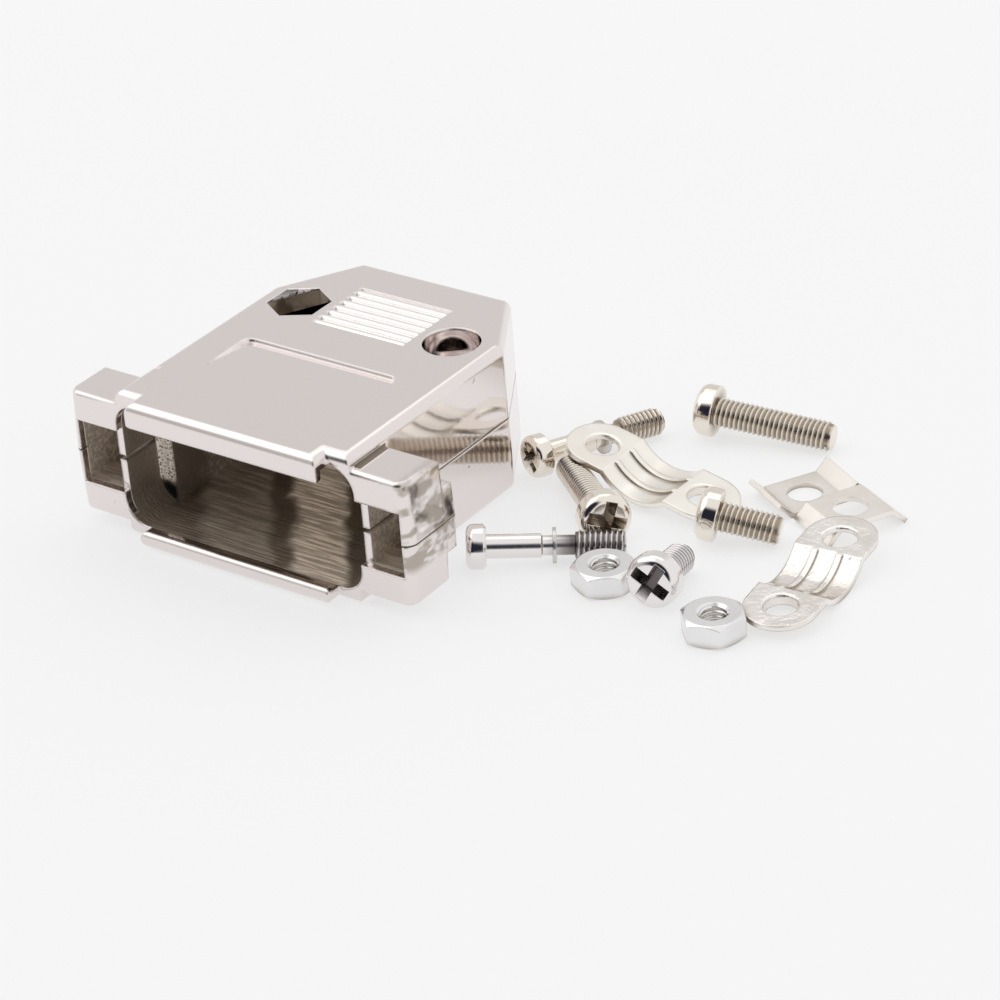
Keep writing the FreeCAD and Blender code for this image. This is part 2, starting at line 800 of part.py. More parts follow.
# Places of the loose pieces: x beside the hood, y behind its front face, and their turns in degrees
PILE_DEPTH = 27.19
SCREW_PLACES = {
    "long_screw_far": (d.long_length, 11.28, 42.78, 12.0, 0.0),
    "long_screw_near": (d.long_length, 15.68, 19.9, 139.5, 20.0),
    "short_screw_rear": (d.short_length, 22.38, 25.35, 20.0, 10.0),
    "short_screw_front": (d.short_length, 25.47, 12.15, 100.4, 30.0),
}
JACKSCREW_PLACES = {
    "front": (6.02, 10.44, 36.1, 15.0),
    "rear": (1.6, 27.19, 65.6, 40.0),
}
NUT_PLACES = {
    "hex_nut_left": (19.19, 14.0, 4.7),
    "hex_nut_right": (32.64, 11.6, -17.4),
}
CLAMP_PLACES = {
    "clamp_saddle_rear": (14.04, 30.3, 2.71, -2.0, 11.2),
    "clamp_saddle_front": (36.34, 22.45, 2.02, -86.0, 3.1),
}
flare_slant = root(d.flare_run * d.flare_run + d.flare_rise * d.flare_rise)
plate_top = d.flare_rise + d.plate_sheet * d.flare_run / flare_slant
PLATE_PLACES = {
    "retainer_plate_upright": (27.04, 36.7, 0.0, 60.0, 0.0),
    "retainer_plate_turned": (33.34, 34.6, plate_top.value, 62.6, 180.0),
}

bodies = [lower, upper]
for label, (length, x, y, turn, roll) in SCREW_PLACES.items():
    bodies.append(pan_screw(label, length, *beside_hood(x, y), turn, roll))
for spot, (x, y, turn, roll) in JACKSCREW_PLACES.items():
    bodies.extend(jackscrew("jackscrew_" + spot, "jack_ring_" + spot, *beside_hood(x, y), turn, roll))
for label, (x, y, turn) in NUT_PLACES.items():
    bodies.append(hex_nut(label, *beside_hood(x, y), turn))
for label, (x, y, z, turn, tilt) in CLAMP_PLACES.items():
    bodies.append(clamp_saddle(label, *beside_hood(x, y), z, turn, tilt))
for label, (x, y, z, turn, roll) in PLATE_PLACES.items():
    bodies.append(retainer_plate(label, *beside_hood(x, y), z, turn, roll))

doc.recompute()
for body in bodies:
    shape = body.Shape
    if shape.isNull() or not shape.isValid() or len(shape.Solids) != 1:
        raise RuntimeError("no sound solid for " + body.Label)
    for feature in body.Group:
        if "Invalid" in feature.State or "Error" in feature.State:
            raise RuntimeError("feature without a result: " + feature.Label)
    print(body.Label, round(shape.Volume, 2), shape.BoundBox)
    shape.exportStep("parts/%s.step" % body.Label)
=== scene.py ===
import json
import logging
import math
from dataclasses import dataclass, field
from enum import Enum

import bmesh
import bpy
from mathutils import Matrix, Vector

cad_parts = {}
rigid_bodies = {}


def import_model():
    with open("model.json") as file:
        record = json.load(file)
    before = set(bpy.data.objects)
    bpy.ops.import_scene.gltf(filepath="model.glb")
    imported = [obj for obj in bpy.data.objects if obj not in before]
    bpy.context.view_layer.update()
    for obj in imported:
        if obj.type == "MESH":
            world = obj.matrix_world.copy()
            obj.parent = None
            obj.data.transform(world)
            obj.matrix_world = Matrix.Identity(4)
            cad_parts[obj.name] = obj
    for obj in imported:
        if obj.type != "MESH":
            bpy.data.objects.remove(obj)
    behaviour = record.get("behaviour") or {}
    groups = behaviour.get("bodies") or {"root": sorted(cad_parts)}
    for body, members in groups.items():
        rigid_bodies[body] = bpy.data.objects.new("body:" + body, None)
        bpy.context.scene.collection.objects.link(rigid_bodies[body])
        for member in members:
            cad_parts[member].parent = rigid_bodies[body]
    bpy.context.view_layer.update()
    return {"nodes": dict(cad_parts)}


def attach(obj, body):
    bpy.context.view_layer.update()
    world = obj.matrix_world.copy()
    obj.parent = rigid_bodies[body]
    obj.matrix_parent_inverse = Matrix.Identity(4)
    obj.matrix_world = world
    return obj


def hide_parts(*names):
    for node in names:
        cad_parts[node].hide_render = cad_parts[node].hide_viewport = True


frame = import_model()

MM = 0.001
Colour = tuple[float, float, float, float]
Point = tuple[float, float]
log = logging.getLogger("hood")


def mm(value: float) -> float:
    """Millimetres as metres."""
    return value * MM


def colour(red: float, green: float, blue: float) -> Colour:
    """A linear colour with full alpha."""
    return (red, green, blue, 1.0)


def grey(value: float) -> Colour:
    """A linear grey with full alpha."""
    return colour(value, value, value)


# Points that lie closer than this are one point
MERGE_REACH = mm(0.0005)
QUARTER_TURN = math.pi / 2
SOFT_SAMPLES = 6


@dataclass(frozen=True)
class Edge:
    """Where a soft step lies, and how far it spreads to either side."""

    at: float
    blur: float


@dataclass(frozen=True)
class Grain:
    """A noise: its scale, its detail and its roughness."""

    scale: float
    detail: float = 3.0
    rough: float = 0.5


def wall(place: float) -> Edge:
    """A wall's place in millimetres, as an edge that is just wide enough to stay clean."""
    return Edge(mm(place), mm(0.04))


# Shader maths


class Sock:
    """A node's output that adds Math nodes when it is used in an expression."""

    def __init__(self, shade: "Shade", socket: bpy.types.NodeSocket) -> None:
        """Keep the tree and the wrapped socket."""
        self.shade = shade
        self.socket = socket

    def __add__(self, other: "Sock | float") -> "Sock":
        """Sum."""
        return self.shade.math("ADD", self, other)

    def __radd__(self, other: float) -> "Sock":
        """Sum, reflected."""
        return self.shade.math("ADD", other, self)

    def __sub__(self, other: "Sock | float") -> "Sock":
        """Difference."""
        return self.shade.math("SUBTRACT", self, other)

    def __rsub__(self, other: float) -> "Sock":
        """Difference, reflected."""
        return self.shade.math("SUBTRACT", other, self)

    def __mul__(self, other: "Sock | float") -> "Sock":
        """Product."""
        return self.shade.math("MULTIPLY", self, other)

    def __rmul__(self, other: float) -> "Sock":
        """Product, reflected."""
        return self.shade.math("MULTIPLY", other, self)

    def __truediv__(self, other: "Sock | float") -> "Sock":
        """Quotient."""
        return self.shade.math("DIVIDE", self, other)

    def __rtruediv__(self, other: float) -> "Sock":
        """Quotient, reflected."""
        return self.shade.math("DIVIDE", other, self)

    def __abs__(self) -> "Sock":
        """Absolute value."""
        return self.shade.math("ABSOLUTE", self)

    def larger(self, other: "Sock") -> "Sock":
        """The larger of two values."""
        return self.shade.math("MAXIMUM", self, other)

    def above(self, edge: Edge) -> "Sock":
        """A soft step from 0 below an edge to 1 above it."""
        return self.shade.step(self, edge.at - edge.blur, edge.at + edge.blur)

    def below(self, edge: Edge) -> "Sock":
        """A soft step from 1 below an edge to 0 above it."""
        return 1.0 - self.above(edge)

    def between(self, low: Edge, high: Edge) -> "Sock":
        """1 between two edges, with a soft step at each, and 0 outside them."""
        return self.above(low) * self.below(high)


class Shade:
    """A node tree under construction."""

    def __init__(self, tree: bpy.types.NodeTree) -> None:
        """Start from an empty tree."""
        self.tree = tree
        tree.nodes.clear()

    def node(self, kind: str, settings: dict | None = None, inputs: dict | None = None) -> bpy.types.Node:
        """Add a node.

        Args:
            kind: Blender's type of the node.
            settings: properties that are set before the sockets.
            inputs: values or links by socket name or index.

        Returns:
            The node.
        """
        made = self.tree.nodes.new(kind)
        for name, value in (settings or {}).items():
            setattr(made, name, value)
        for key, value in (inputs or {}).items():
            if isinstance(value, Sock):
                self.tree.links.new(value.socket, made.inputs[key])
            else:
                made.inputs[key].default_value = value
        return made

    def out(self, made: bpy.types.Node, key: str | int = 0) -> Sock:
        """One output of a node."""
        return Sock(self, made.outputs[key])

    def math(self, operation: str, first: Sock | float, second: Sock | float | None = None) -> Sock:
        """Add a Math node.

        Args:
            operation: the node's operation.
            first: the first value.
            second: the second value, for an operation that has two.

        Returns:
            The result.
        """
        inputs = {0: first}
        if second is not None:
            inputs[1] = second
        return self.out(self.node("ShaderNodeMath", {"operation": operation}, inputs))

    def step(self, value: Sock, low: float, high: float) -> Sock:
        """Add a smooth step.

        Args:
            value: the value that is tested.
            low: where the step leaves 0.
            high: where it reaches 1.

        Returns:
            The step, from 0 to 1.
        """
        inputs = {"Value": value, "From Min": low, "From Max": high}
        made = self.node("ShaderNodeMapRange", {"interpolation_type": "SMOOTHSTEP"}, inputs)
        return self.out(made, "Result")

    def mix_colour(self, factor: Sock | float, first: Sock | Colour, second: Sock | Colour) -> Sock:
        """A colour between two colours."""
        made = self.node("ShaderNodeMix", {"data_type": "RGBA"}, {"Factor": factor, 6: first, 7: second})
        return self.out(made, 2)

    def place(self) -> Sock:
        """The point on the piece, in metres."""
        return self.out(self.node("ShaderNodeTexCoord"), "Object")

    def axes(self, vector: Sock) -> tuple[Sock, Sock, Sock]:
        """The three parts of a vector."""
        made = self.node("ShaderNodeSeparateXYZ", None, {0: vector})
        return self.out(made, 0), self.out(made, 1), self.out(made, 2)

    def noise(self, vector: Sock, grain: Grain) -> Sock:
        """Grey noise on a vector."""
        inputs = {"Vector": vector, "Scale": grain.scale, "Detail": grain.detail, "Roughness": grain.rough}
        return self.out(self.node("ShaderNodeTexNoise", None, inputs), "Fac")

    def stretched(self, vector: Sock, scale: tuple[float, float, float], turn: float = 0.0) -> Sock:
        """A vector turned about Z and scaled."""
        inputs = {"Vector": vector, "Rotation": (0.0, 0.0, turn), "Scale": scale}
        return self.out(self.node("ShaderNodeMapping", None, inputs))

    def crease_shade(self, reach: float) -> Sock:
        """Ambient occlusion for painted shade: 1 on open surfaces, falling to 0 in creases narrower than a
        reach.
        """
        made = self.node("ShaderNodeAmbientOcclusion", {"samples": SOFT_SAMPLES}, {"Distance": reach})
        return self.out(made, "AO")

    def bump(self, height: Sock, distance: float, softness: float) -> Sock:
        """Add a bump on edges that look rounded.

        Args:
            height: the relief, about 0 to 1.
            distance: how high the relief is.
            softness: the radius of the edges.

        Returns:
            The normal.
        """
        soft = self.node("ShaderNodeBevel", {"samples": SOFT_SAMPLES}, {"Radius": softness})
        inputs = {"Distance": distance, "Height": height, "Normal": self.out(soft)}
        return self.out(self.node("ShaderNodeBump", None, inputs))

    def surface(self, inputs: dict) -> None:
        """Add the surface shader with its values and links, and the tree's output."""
        made = self.node("ShaderNodeBsdfPrincipled", None, inputs)
        self.node("ShaderNodeOutputMaterial", None, {"Surface": self.out(made)})


def new_finish(name: str) -> tuple[bpy.types.Material, Shade]:
    """Start a material.

    Args:
        name: the material's name.

    Returns:
        The material and its empty tree.
    """
    made = bpy.data.materials.new(name)
    made.use_nodes = True
    return made, Shade(made.node_tree)


# Finishes of the loose hardware


@dataclass(frozen=True)
class MetalFinish:
    """A plated metal with a faint mottle, and painted shade that browns it where its surfaces meet."""

    name: str
    base: Colour
    tint: Colour
    roughness: float
    mottle: float
    grain_scale: float
    grain_depth: float
    softness: float = mm(0.12)
    grain_detail: float = 4.0
    grain_rough: float = 0.6
    cloud: Grain = Grain(260.0)
    cloud_edge: Edge = Edge(0.5, 0.2)
    # painted shade: the brown that ambient occlusion lays into creases
    crease_shade: Colour = colour(0.34, 0.28, 0.21)
    crease_reach: float = mm(0.9)
    crease_edge: Edge = Edge(0.66, 0.3)

    def material(self) -> bpy.types.Material:
        """Build the finish.

        Returns:
            The material.
        """
        made, shade = new_finish(self.name)
        place = shade.place()
        cloud = shade.noise(place, self.cloud)
        fine = shade.noise(place, Grain(self.grain_scale, self.grain_detail, self.grain_rough))
        plate = shade.mix_colour(cloud.above(self.cloud_edge), self.base, self.tint)
        # painted shade: the plate turns brown where ambient occlusion finds a crease
        open_share = shade.crease_shade(self.crease_reach).above(self.crease_edge)
        shade.surface(
            {
                "Base Color": shade.mix_colour(open_share, self.crease_shade, plate),
                "Metallic": 1.0,
                "Roughness": self.roughness + (fine - 0.5) * self.mottle,
                "Normal": shade.bump(fine, self.grain_depth, self.softness),
            }
        )
        return made


class LooseFinish(Enum):
    """The finishes of the rings, nuts, saddles and plates."""

    RING = MetalFinish(
        "spring_ring", colour(0.66, 0.64, 0.62), colour(0.60, 0.58, 0.56), 0.2, 0.08, 900.0, mm(0.004)
    )
    NUT = MetalFinish(
        "zinc_nut", colour(0.86, 0.85, 0.85), colour(0.81, 0.80, 0.80), 0.22, 0.08, 700.0, mm(0.0015)
    )
    STRAP = MetalFinish(
        "pressed_strap", colour(0.97, 0.935, 0.87), colour(0.9, 0.85, 0.78), 0.3, 0.12, 420.0, mm(0.012),
        softness=mm(0.25),
    )
    WORN_STRAP = MetalFinish(
        "worn_strap", colour(0.93, 0.895, 0.86), colour(0.82, 0.77, 0.72), 0.17, 0.12, 900.0, mm(0.13),
        softness=mm(0.25),
    )
    PLATE = MetalFinish(
        "pressed_plate", colour(0.93, 0.885, 0.835), colour(0.86, 0.81, 0.75), 0.3, 0.1, 900.0, mm(0.004)
    )


@dataclass(frozen=True)
class ScrewFinish:
    """A bright plating with painted shade in the thread's grooves and in the recess."""

    name: str
    bright: Colour
    groove: Colour
    cloud: Grain = Grain(700.0)
    grain: Grain = Grain(1600.0, 3.0, 0.6)
    grain_depth: float = mm(0.004)
    polish: float = 0.1
    mottle: float = 0.06
    groove_roughness: float = 0.2
    groove_share: float = 0.8
    groove_mottle: float = 0.5
    softness: float = mm(0.1)

    def material(self) -> bpy.types.Material:
        """Build the finish, which reads the attribute that mark_grooves stores.

        Returns:
            The material.
        """
        made, shade = new_finish(self.name)
        place = shade.place()
        deep = shade.out(shade.node("ShaderNodeAttribute", {"attribute_name": "groove"}), "Fac")
        cloud = shade.noise(place, self.cloud)
        fine = shade.noise(place, self.grain)
        # painted shade: the deeper a point lies in a groove or in the recess, the darker it is
        dark = deep * (self.groove_share + cloud * self.groove_mottle)
        shade.surface(
            {
                "Base Color": shade.mix_colour(dark, self.bright, self.groove),
                "Metallic": 1.0,
                "Roughness": self.polish + deep * self.groove_roughness + (fine - 0.5) * self.mottle,
                "Normal": shade.bump(fine, self.grain_depth, self.softness),
            }
        )
        return made


class PlatedScrew(Enum):
    """The finishes of the screws and the jackscrews."""

    WARM = ScrewFinish("warm_screw", colour(0.86, 0.80, 0.72), colour(0.36, 0.30, 0.235))
    COOL = ScrewFinish("cool_screw", colour(0.84, 0.81, 0.80), colour(0.16, 0.14, 0.14))


# Finish of the casting


@dataclass(frozen=True)
class HoodSizes:
    """The hood's sizes that its finish follows, across and back from the mouth's middle and up."""

    joint: float = mm(7.95)
    column_across: float = mm(9.2)
    column_back: float = mm(22.75)
    pocket_radius: Edge = wall(3.55)
    pocket_rise: Edge = Edge(mm(7.75), mm(0.1))
    pocket_side: Edge = Edge(0.0, mm(0.001) * mm(0.001))
    cavity_across: Edge = wall(13.2)
    cavity_front: Edge = wall(0.15)
    cavity_rear: Edge = wall(32.2)
    cavity_rise: Edge = wall(7.3)
    corner_run: float = 8.4
    corner_fall: float = 5.0
    corner_across: float = mm(13.9)
    corner_back: float = mm(24.6)
    corner_wall: float = mm(7.5)
    corner_blur: float = mm(0.4)
    mouth_across: Edge = wall(14.6)
    mouth_front: Edge = wall(0.9)
    mouth_rear: Edge = wall(5.6)
    mouth_rise: Edge = wall(6.7)
    chamber_inner: Edge = wall(14.5)
    chamber_outer: Edge = wall(19.4)
    chamber_rear: Edge = wall(5.4)
    chamber_rise: Edge = wall(3.45)
    ribs_middle: float = mm(23.9)
    ribs_across: Edge = Edge(mm(5.3), mm(0.15))
    ribs_back: Edge = Edge(mm(3.9), mm(0.15))
    ribs_rise: Edge = Edge(mm(7.2), mm(0.1))


class HoodPoint:
    """A point on the casting and the masks, 0 to 1, that say where it lies."""

    def __init__(self, shade: Shade, sizes: HoodSizes) -> None:
        """Measure the point.

        Args:
            shade: the casting's tree.
            sizes: the hood's sizes.
        """
        self.sizes = sizes
        self.place = shade.place()
        self.across, self.back, self.up = shade.axes(self.place)
        self.side = abs(self.across)
        self.over_joint = self.up - sizes.joint
        self.rise = abs(self.over_joint)
        square = shade.math("POWER", self.side - sizes.column_across, 2.0)
        square = square + shade.math("POWER", self.back - sizes.column_back, 2.0)
        self.from_column = shade.math("SQRT", square)

    def pocket(self) -> Sock:
        """Find the nuts' hexagon pockets, which are left above and right below.

        Returns:
            1 in the pockets.
        """
        sizes = self.sizes
        near = self.from_column.below(sizes.pocket_radius) * self.rise.below(sizes.pocket_rise)
        return near * (self.across * self.over_joint).below(sizes.pocket_side)

    def inner(self) -> Sock:
        """Find the walls of the cavity and of the ear chambers.

        Returns:
            1 on those walls, 0 on the outside and in the columns' sinkings.
        """
        sizes = self.sizes
        corner = sizes.corner_across * sizes.corner_run + sizes.corner_back * sizes.corner_fall
        slant = self.side * sizes.corner_run + self.back * sizes.corner_fall
        cavity = self.side.below(sizes.cavity_across) * self.rise.below(sizes.cavity_rise)
        cavity = cavity * self.back.between(sizes.cavity_front, sizes.cavity_rear)
        cavity = cavity * slant.below(Edge(corner - sizes.corner_wall, sizes.corner_blur))
        mouth = self.side.below(sizes.mouth_across) * self.rise.below(sizes.mouth_rise)
        mouth = mouth * self.back.between(sizes.mouth_front, sizes.mouth_rear)
        chamber = self.side.between(sizes.chamber_inner, sizes.chamber_outer)
        chamber = chamber * self.back.between(sizes.mouth_front, sizes.chamber_rear)
        chamber = chamber * self.rise.below(sizes.chamber_rise)
        return cavity.larger(mouth).larger(chamber) * self.from_column.above(sizes.pocket_radius)

    def grip(self) -> Sock:
        """Find the field of the grip ribs.

        Returns:
            1 on the ribs, above and below.
        """
        sizes = self.sizes
        from_middle = abs(self.back - sizes.ribs_middle)
        patch = self.side.below(sizes.ribs_across) * from_middle.below(sizes.ribs_back)
        return patch * self.rise.above(sizes.ribs_rise)


@dataclass(frozen=True)
class CastInside:
    """The dull, olive brown inside of the casting, with painted light that falls in as slanted bands and a
    painted glow.
    """

    light: Colour = colour(0.86, 0.75, 0.63)
    dark: Colour = colour(0.24, 0.19, 0.145)
    # painted highlight: the glint on the upper part of the step, which also glows
    step_glint: Colour = colour(0.93, 0.89, 0.87)
    # painted light: the inside glows with this colour where the bands fall
    lift: Colour = colour(0.17, 0.14, 0.11)
    shadow: Colour = colour(0.01, 0.008, 0.008)
    roughness: float = 0.32
    metallic: float = 0.25
    slant_across: float = 8.4
    slant_back: float = 6.4
    ragged: float = mm(30.0)
    left_start: Edge = Edge(mm(-42.0), mm(12.0))
    left_end: Edge = Edge(mm(29.0), mm(6.0))
    left_share: float = 0.4
    right_start: Edge = Edge(mm(50.0), mm(7.0))
    right_end: Edge = Edge(mm(104.0), mm(6.0))
    ear_start: Edge = Edge(mm(14.6), mm(0.1))
    ear_share: float = 0.5
    band_share: float = 0.55
    striae_share: float = 0.45
    striae_edge: Edge = Edge(0.52, 0.1)
    cloud_share: float = 0.3
    step_inner: Edge = Edge(mm(-12.6), mm(0.05))
    step_outer: Edge = Edge(mm(-14.3), mm(0.05))
    step_back: float = mm(5.5)
    step_half: Edge = Edge(mm(0.25), mm(0.05))
    step_ragged: float = mm(3.0)
    glint_bottom: Edge = Edge(mm(3.9), mm(0.4))
    glint_grain: Grain = Grain(4200.0, 2.0)
    glint_edge: Edge = Edge(0.44, 0.1)
    glint_glow: float = 1.6
    shadow_top: Edge = Edge(mm(3.5), mm(0.3))

    def lit(self, point: HoodPoint, striae: Sock, cloud: Sock) -> Sock:
        """Draw the bands of painted light.

        Args:
            point: the point on the casting.
            striae: the noise of the drawn walls.
            cloud: the noise that makes the bands ragged.

        Returns:
            The light, about 0 to 1.
        """
        slant = point.across * self.slant_across + point.back * self.slant_back + (cloud - 0.5) * self.ragged
        left = slant.between(self.left_start, self.left_end)
        right = slant.between(self.right_start, self.right_end)
        bands = left * self.left_share + right + point.side.above(self.ear_start) * self.ear_share
        streaks = self.band_share + striae.above(self.striae_edge) * self.striae_share
        return bands * streaks + (cloud - 0.5) * self.cloud_share

    def step(self, shade: Shade, point: HoodPoint, cloud: Sock) -> tuple[Sock, Sock]:
        """Draw the step in the left wall, with a painted glint above and a painted shadow at its foot.

        Args:
            shade: the casting's tree.
            point: the point on the casting.
            cloud: the noise that makes the ends ragged.

        Returns:
            The painted glint on the upper part and the painted shadow at the foot, each 1 where it lies.
        """
        strip = point.across.between(self.step_outer, self.step_inner)
        strip = strip * abs(point.back - self.step_back).below(self.step_half)
        height = point.up + (cloud - 0.5) * self.step_ragged
        fleck = shade.noise(point.place, self.glint_grain).above(self.glint_edge)
        upper = strip * height.above(self.glint_bottom) * fleck
        foot = strip * height.below(self.shadow_top)
        return upper, foot


@dataclass(frozen=True)
class CastingFinish:
    """Bright nickel on a casting, with a joint line, pores, a painted reflection on one ear and painted
    shade in the pockets.
    """

    name: str = "plated_casting"
    sizes: HoodSizes = HoodSizes()
    inside: CastInside = CastInside()
    bright: Colour = colour(0.82, 0.762, 0.745)
    # painted highlight: the grip ribs are whiter
    grip_highlight: Colour = colour(0.93, 0.89, 0.87)
    seam: Colour = colour(0.2, 0.165, 0.125)
    # painted reflection: the brown that the right ear's outer side mirrors
    ear_reflection: Colour = colour(0.34, 0.29, 0.23)
    polish: float = 0.07
    pocket_roughness: float = 0.25
    pocket_metallic: float = 0.4
    softness: float = mm(0.42)
    relief: float = mm(0.09)
    striae: Grain = Grain(700.0, 3.0, 0.6)
    striae_stretch: tuple[float, float, float] = (0.3, 4.0, 4.0)
    striae_turn: float = 0.12
    striae_height: float = 2.4
    cloud: Grain = Grain(240.0, 4.0, 0.6)
    cloud_edge: Edge = Edge(0.52, 0.1)
    cloud_height: float = 0.9
    wave: Grain = Grain(150.0, 2.0)
    wave_height: float = 0.05
    speckle: Grain = Grain(1500.0, 2.0)
    speckle_height: float = 0.012
    dent: Grain = Grain(260.0, 1.0)
    dent_start: Edge = Edge(mm(19.0), mm(0.6))
    dent_height: float = 0.6
    seam_half: Edge = Edge(mm(0.09), mm(0.03))
    pore: Grain = Grain(1100.0, 1.0)
    pore_edge: Edge = Edge(0.77, 0.02)
    pore_start: Edge = Edge(mm(13.0), mm(0.5))
    pore_share: float = 0.6
    reflection_grain: Grain = Grain(330.0, 2.0, 0.6)
    reflection_stretch: tuple[float, float, float] = (1.0, 1.0, 1.8)
    reflection_edge: Edge = Edge(0.5, 0.07)
    reflection_start: Edge = Edge(mm(19.0), mm(0.5))
    reflection_bottom: Edge = Edge(mm(5.2), mm(0.6))
    reflection_top: Edge = Edge(mm(14.3), mm(0.7))
    reflection_share: float = 0.75

    def material(self) -> bpy.types.Material:
        """Build the finish.

        Returns:
            The material.
        """
        made, shade = new_finish(self.name)
        point = HoodPoint(shade, self.sizes)
        inner = point.inner()
        pocket = point.pocket()
        drawn = shade.stretched(point.place, self.striae_stretch, self.striae_turn)
        striae = shade.noise(drawn, self.striae)
        cloud = shade.noise(point.place, self.cloud)
        lit = self.inside.lit(point, striae, cloud)
        step_glint, shadow = self.inside.step(shade, point, cloud)
        # painted light and shade: the inside is lighter in the bands and darker between them
        dull = shade.mix_colour(lit, self.inside.dark, self.inside.light)
        # painted highlight and painted shadow on the step
        dull = shade.mix_colour(step_glint, dull, self.inside.step_glint)
        dull = shade.mix_colour(shadow, dull, self.inside.shadow)
        skin = self.skin(shade, point, inner, pocket, cloud)
        # painted light: the bands and the step's glint glow through the emission, though no lamp is there
        glow = inner * lit * lit + step_glint * self.inside.glint_glow
        rough = self.polish + pocket * self.pocket_roughness + inner * (self.inside.roughness - self.polish)
        metallic = 1.0 - inner * (1.0 - self.inside.metallic) - pocket * (1.0 - self.pocket_metallic)
        rugged = striae * self.striae_height + cloud * self.cloud_height
        height = inner * rugged + (1.0 - inner) * self.outer_height(shade, point)
        shade.surface(
            {
                "Base Color": shade.mix_colour(inner, skin, dull),
                "Metallic": metallic,
                "Roughness": rough,
                "Emission Color": shade.mix_colour(glow, grey(0.0), self.inside.lift),
                "Emission Strength": 1.0,
                "Normal": shade.bump(height, self.relief, self.softness),
            }
        )
        return made

    def skin(self, shade: Shade, point: HoodPoint, inner: Sock, pocket: Sock, cloud: Sock) -> Sock:
        """Colour the outside, the painted highlight on the grip ribs, the painted shade in the pockets, the
        joint line, the pores and the painted reflection on the right ear.

        Args:
            shade: the casting's tree.
            point: the point on the casting.
            inner: 1 on the inside.
            pocket: 1 in the hexagon pockets.
            cloud: the noise that mottles the pockets.

        Returns:
            The colour.
        """
        grip = point.grip()
        joint = point.rise.below(self.seam_half) * (1.0 - inner)
        pores = shade.noise(point.place, self.pore).above(self.pore_edge) * (1.0 - grip)
        pores = pores * point.side.above(self.pore_start)
        # painted reflection: brown patches on the right ear's outer side
        ear_reflection = shade.noise(shade.stretched(point.place, self.reflection_stretch), self.reflection_grain)
        ear_reflection = ear_reflection.above(self.reflection_edge) * point.across.above(self.reflection_start)
        ear_reflection = ear_reflection * point.up.above(self.reflection_bottom) * point.up.below(self.reflection_top)
        # painted shade: the hexagon pockets take the inside's mottled dark and light brown
        pocket_shade = shade.mix_colour(cloud.above(self.cloud_edge), self.inside.dark, self.inside.light)
        # painted highlight on the grip ribs
        skin = shade.mix_colour(grip, self.bright, self.grip_highlight)
        skin = shade.mix_colour(pocket, skin, pocket_shade)
        skin = shade.mix_colour(ear_reflection * self.reflection_share, skin, self.ear_reflection)
        return shade.mix_colour(joint + pores * self.pore_share, skin, self.seam)

    def outer_height(self, shade: Shade, point: HoodPoint) -> Sock:
        """Draw the outside's relief: faint waves and speckles, and dents at the ends of the ears.

        Args:
            shade: the casting's tree.
            point: the point on the casting.

        Returns:
            The height.
        """
        waves = shade.noise(point.place, self.wave) * self.wave_height
        speckles = shade.noise(point.place, self.speckle) * self.speckle_height
        dents = shade.noise(point.place, self.dent) * point.side.above(self.dent_start)
        return waves + speckles + dents * self.dent_height


# Meshes


def new_object(name: str, mesh: bpy.types.Mesh) -> bpy.types.Object:
    """Link a mesh as an object.

    Args:
        name: the object's name.
        mesh: its mesh.

    Returns:
        The object.
    """
    made = bpy.data.objects.new(name, mesh)
    bpy.context.scene.collection.objects.link(made)
    return made


def applied(piece: bpy.types.Object) -> bpy.types.Object:
    """Turn a piece with modifiers into a plain mesh.

    Args:
        piece: the piece.

    Returns:
        The same piece, without modifiers.
    """
    bpy.context.view_layer.update()
    graph = bpy.context.evaluated_depsgraph_get()
    mesh = bpy.data.meshes.new_from_object(piece.evaluated_get(graph))
    piece.modifiers.clear()
    piece.data = mesh
    return piece


def smooth(mesh: bpy.types.Mesh, degrees: float = 30.0) -> None:
    """Shade a mesh smooth and keep the edges that are sharper than an angle."""
    mesh.polygons.foreach_set("use_smooth", [True] * len(mesh.polygons))
    mesh.set_sharp_from_angle(angle=math.radians(degrees))


def cad_copy(node: str, name: str) -> bpy.types.Object:
    """A merged copy of a CAD node's mesh, with flat faces joined.

    Args:
        node: the CAD node.
        name: the copy's name.

    Returns:
        The copy, at the origin.
    """
    mesh = frame["nodes"][node].data.copy()
    mesh.materials.clear()
    work = bmesh.new()
    work.from_mesh(mesh)
    bmesh.ops.remove_doubles(work, verts=work.verts, dist=MERGE_REACH)
    bmesh.ops.dissolve_limit(
        work, angle_limit=math.radians(0.3), verts=work.verts, edges=work.edges, delimit={"NORMAL"}
    )
    work.to_mesh(mesh)
    work.free()
    return new_object(name, mesh)


def lathe(profile: list[Point], steps: int) -> bmesh.types.BMesh:
    """Turn a profile about X.

    Args:
        profile: points (along, radius), the first and last on the axis.
        steps: divisions round the axis.

    Returns:
        A closed mesh.
    """
    work = bmesh.new()
    rings = []
    for along, radius in profile:
        if radius < MERGE_REACH:
            rings.append([work.verts.new((along, 0.0, 0.0))])
            continue
        ring = []
        for step in range(steps):
            angle = 2 * math.pi * step / steps
            ring.append(work.verts.new((along, radius * math.cos(angle), radius * math.sin(angle))))
        rings.append(ring)
    for first, second in zip(rings, rings[1:]):
        for step in range(steps):
            after = (step + 1) % steps
            corners = [first[step % len(first)], first[after % len(first)]]
            corners += [second[after % len(second)], second[step % len(second)]]
            unique = list(dict.fromkeys(corners))
            if len(unique) > 2:
                work.faces.new(unique)
    bmesh.ops.recalc_face_normals(work, faces=work.faces)
    return work


